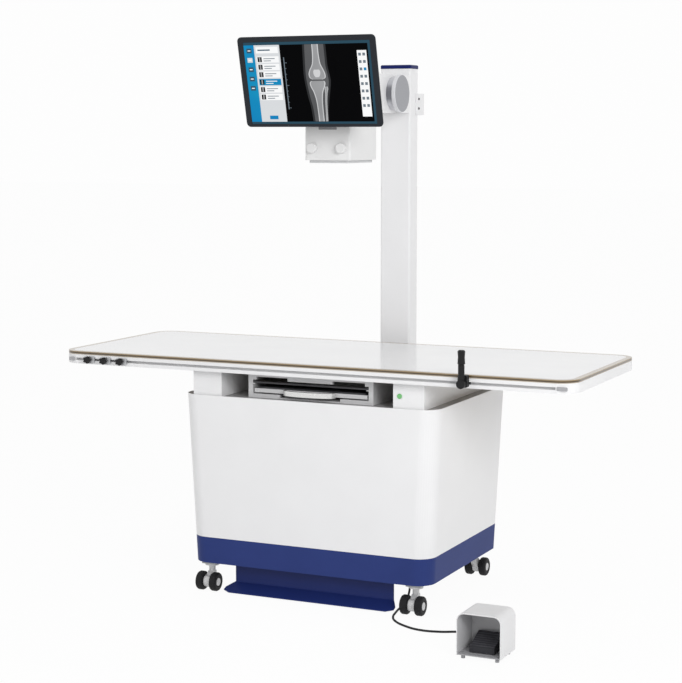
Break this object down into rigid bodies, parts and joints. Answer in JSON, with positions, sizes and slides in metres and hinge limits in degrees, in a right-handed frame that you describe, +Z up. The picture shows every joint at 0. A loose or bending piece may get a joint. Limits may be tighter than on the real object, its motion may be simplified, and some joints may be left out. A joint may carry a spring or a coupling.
{
  "type": "radiography table",
  "caption": "Veterinary X-ray table on casters: floating top with slotted rail over a tapered cabinet, pull-out detector tray, rear column with tilting tube head, monitor and corded footswitch.",
  "frame": {"origin": "on the floor, under the middle of the whole object's width and depth", "axes": "+X along the table top to the operator's right, +Y from the operator's side towards the column, +Z up"},
  "size_m": [1.8, 1.198, 1.8155],
  "materials": {
    "white_paint": "satin white powder coat",
    "white_casting": "satin white paint on aluminium",
    "white_plastic": "satin",
    "grey_plastic": "satin",
    "grey_paint": "satin",
    "grey_aluminium": "satin",
    "handle_metal": "satin",
    "aluminium": "turned satin",
    "steel": "zinc plated",
    "caster_metal": "satin grey",
    "dark_metal": "matt black",
    "generator_case": "satin grey",
    "navy_paint": "satin navy powder coat",
    "navy_plastic": "satin navy",
    "green_plastic": "gloss",
    "board_laminate": "smooth white laminate with brown edge",
    "grid_face": "dark carbon cover",
    "dark_plastic": "satin dark grey",
    "black_plastic": "matt black",
    "screen_glass": "glossy display",
    "wheel_rubber": "matt black",
    "cord_rubber": "matt black"
  },
  "bodies": {
    "base": {"chassis_frame": "steel", "plinth_skirt": "navy_paint", "cabinet_shell": "white_paint", "deck_plate": "grey_paint", "hv_generator": "generator_case", "left_bridge_block": "white_casting", "right_bridge_block": "white_casting", "bucky_housing": "grey_aluminium", "antiscatter_grid": "grid_face", "column_mount": "white_casting", "column_tube": "white_paint", "column_cap": "navy_plastic", "rear_arm": "white_casting", "arm_clamp_yoke": "white_paint", "treadle_pin": "steel", "cord_gland": "black_plastic", "footswitch_base": "dark_metal", "footswitch_hood": "white_paint", "footswitch_gland": "black_plastic", "footswitch_cord": "cord_rubber"},
    "power_button": {"power_button": "green_plastic"},
    "treadle": {"treadle": "navy_paint"},
    "tray": {"detector_tray": "grey_aluminium", "detector_panel": "dark_plastic", "tray_handle": "handle_metal"},
    "carriage": {"cross_carriage": "steel", "lateral_brake": "dark_metal", "longitudinal_brake": "dark_metal"},
    "top": {"tabletop_board": "board_laminate", "top_frame": "white_casting", "front_rail": "white_casting", "front_glide_rail": "aluminium", "rear_glide_rail": "aluminium"},
    "clamp_1": {"rail_clamp_1": "aluminium"},
    "clamp_2": {"rail_clamp_2": "aluminium"},
    "clamp_3": {"rail_clamp_3": "aluminium"},
    "knob_1": {"star_knob_1": "black_plastic"},
    "knob_2": {"star_knob_2": "black_plastic"},
    "knob_3": {"star_knob_3": "black_plastic"},
    "lever_block": {"lever_clamp": "black_plastic"},
    "lever": {"clamp_lever": "black_plastic"},
    "head": {"head_arm": "white_casting", "hub_disc": "aluminium", "tube_housing": "white_casting", "collimator_housing": "white_plastic", "collimator_frame": "grey_plastic", "monitor_bracket": "white_casting"},
    "left_dial": {"left_collimator_knob": "white_plastic"},
    "right_dial": {"right_collimator_knob": "white_plastic"},
    "monitor": {"monitor_housing": "dark_plastic", "monitor_screen": "screen_glass"},
    "pedal": {"footswitch_pedal": "black_plastic"},
    "front_left_swivel": {"front_left_caster_fork": "caster_metal"},
    "front_right_swivel": {"front_right_caster_fork": "caster_metal"},
    "rear_left_swivel": {"rear_left_caster_fork": "caster_metal"},
    "rear_right_swivel": {"rear_right_caster_fork": "caster_metal"},
    "front_left_wheels": {"front_left_caster_wheels": "wheel_rubber"},
    "front_right_wheels": {"front_right_caster_wheels": "wheel_rubber"},
    "rear_left_wheels": {"rear_left_caster_wheels": "wheel_rubber"},
    "rear_right_wheels": {"rear_right_caster_wheels": "wheel_rubber"}
  },
  "joints": [
    {"name": "power_press", "type": "slide", "parent": "base", "child": "power_button", "axis": [0, 1, 0], "range_m": [0, 0.003], "stiffness_N_per_m": 400, "springref_m": -0.002},
    {"name": "treadle_press", "type": "hinge", "parent": "base", "child": "treadle", "pos_m": [0, -0.157, 0.106], "axis": [1, 0, 0], "range_deg": [0, 3], "stiffness_Nm_per_rad": 20, "springref_deg": -8.59},
    {"name": "tray_slide", "type": "slide", "parent": "base", "child": "tray", "axis": [0, -1, 0], "range_m": [0, 0.42]},
    {"name": "float_y", "type": "slide", "parent": "base", "child": "carriage", "axis": [0, 1, 0], "range_m": [-0.12, 0.06]},
    {"name": "float_x", "type": "slide", "parent": "carriage", "child": "top", "axis": [1, 0, 0], "range_m": [-0.4, 0.4]},
    {"name": "clamp_1_slide", "type": "slide", "parent": "top", "child": "clamp_1", "axis": [1, 0, 0], "range_m": [-0.02, 0.01]},
    {"name": "clamp_2_slide", "type": "slide", "parent": "top", "child": "clamp_2", "axis": [1, 0, 0], "range_m": [-0.01, 0.01]},
    {"name": "clamp_3_slide", "type": "slide", "parent": "top", "child": "clamp_3", "axis": [1, 0, 0], "range_m": [-0.01, 1]},
    {"name": "lever_slide", "type": "slide", "parent": "top", "child": "lever_block", "axis": [1, 0, 0], "range_m": [-0.05, 0.25]},
    {"name": "knob_1_turn", "type": "hinge", "parent": "clamp_1", "child": "knob_1", "pos_m": [-0.79, -0.28, 0.7552], "axis": [0, -1, 0], "continuous": true},
    {"name": "knob_2_turn", "type": "hinge", "parent": "clamp_2", "child": "knob_2", "pos_m": [-0.7275, -0.28, 0.7552], "axis": [0, -1, 0], "continuous": true},
    {"name": "knob_3_turn", "type": "hinge", "parent": "clamp_3", "child": "knob_3", "pos_m": [-0.665, -0.28, 0.7552], "axis": [0, -1, 0], "continuous": true},
    {"name": "lever_turn", "type": "hinge", "parent": "lever_block", "child": "lever", "pos_m": [0.554, -0.29, 0.7552], "axis": [0, -1, 0], "range_deg": [-90, 90]},
    {"name": "head_tilt", "type": "hinge", "parent": "base", "child": "head", "pos_m": [0, 0.336, 1.641], "axis": [-1, 0, 0], "range_deg": [0, 35]},
    {"name": "left_dial_turn", "type": "hinge", "parent": "head", "child": "left_dial", "pos_m": [-0.052, -0.078, 1.4605], "axis": [0, -1, 0], "range_deg": [-150, 150]},
    {"name": "right_dial_turn", "type": "hinge", "parent": "head", "child": "right_dial", "pos_m": [0.052, -0.078, 1.4605], "axis": [0, -1, 0], "range_deg": [-150, 150]},
    {"name": "monitor_tilt", "type": "hinge", "parent": "head", "child": "monitor", "pos_m": [0, -0.16064, 1.67797], "axis": [1, 0, 0], "range_deg": [-15, 20]},
    {"name": "pedal_press", "type": "hinge", "parent": "base", "child": "pedal", "pos_m": [0.7305, -0.571, 0.0153], "axis": [-1, 0, 0], "range_deg": [0, 6], "stiffness_Nm_per_rad": 2, "springref_deg": -5.73},
    {"name": "front_left_swivel_turn", "type": "hinge", "parent": "base", "child": "front_left_swivel", "pos_m": [-0.367, -0.191, 0.085], "axis": [0, 0, 1], "continuous": true},
    {"name": "front_right_swivel_turn", "type": "hinge", "parent": "base", "child": "front_right_swivel", "pos_m": [0.367, -0.191, 0.085], "axis": [0, 0, 1], "continuous": true},
    {"name": "rear_left_swivel_turn", "type": "hinge", "parent": "base", "child": "rear_left_swivel", "pos_m": [-0.367, 0.333, 0.085], "axis": [0, 0, 1], "continuous": true},
    {"name": "rear_right_swivel_turn", "type": "hinge", "parent": "base", "child": "rear_right_swivel", "pos_m": [0.367, 0.333, 0.085], "axis": [0, 0, 1], "continuous": true},
    {"name": "front_left_roll", "type": "hinge", "parent": "front_left_swivel", "child": "front_left_wheels", "pos_m": [-0.367, -0.215, 0.031], "axis": [1, 0, 0], "continuous": true},
    {"name": "front_right_roll", "type": "hinge", "parent": "front_right_swivel", "child": "front_right_wheels", "pos_m": [0.367, -0.215, 0.031], "axis": [1, 0, 0], "continuous": true},
    {"name": "rear_left_roll", "type": "hinge", "parent": "rear_left_swivel", "child": "rear_left_wheels", "pos_m": [-0.367, 0.357, 0.031], "axis": [1, 0, 0], "continuous": true},
    {"name": "rear_right_roll", "type": "hinge", "parent": "rear_right_swivel", "child": "rear_right_wheels", "pos_m": [0.367, 0.357, 0.031], "axis": [1, 0, 0], "continuous": true}
  ]
}
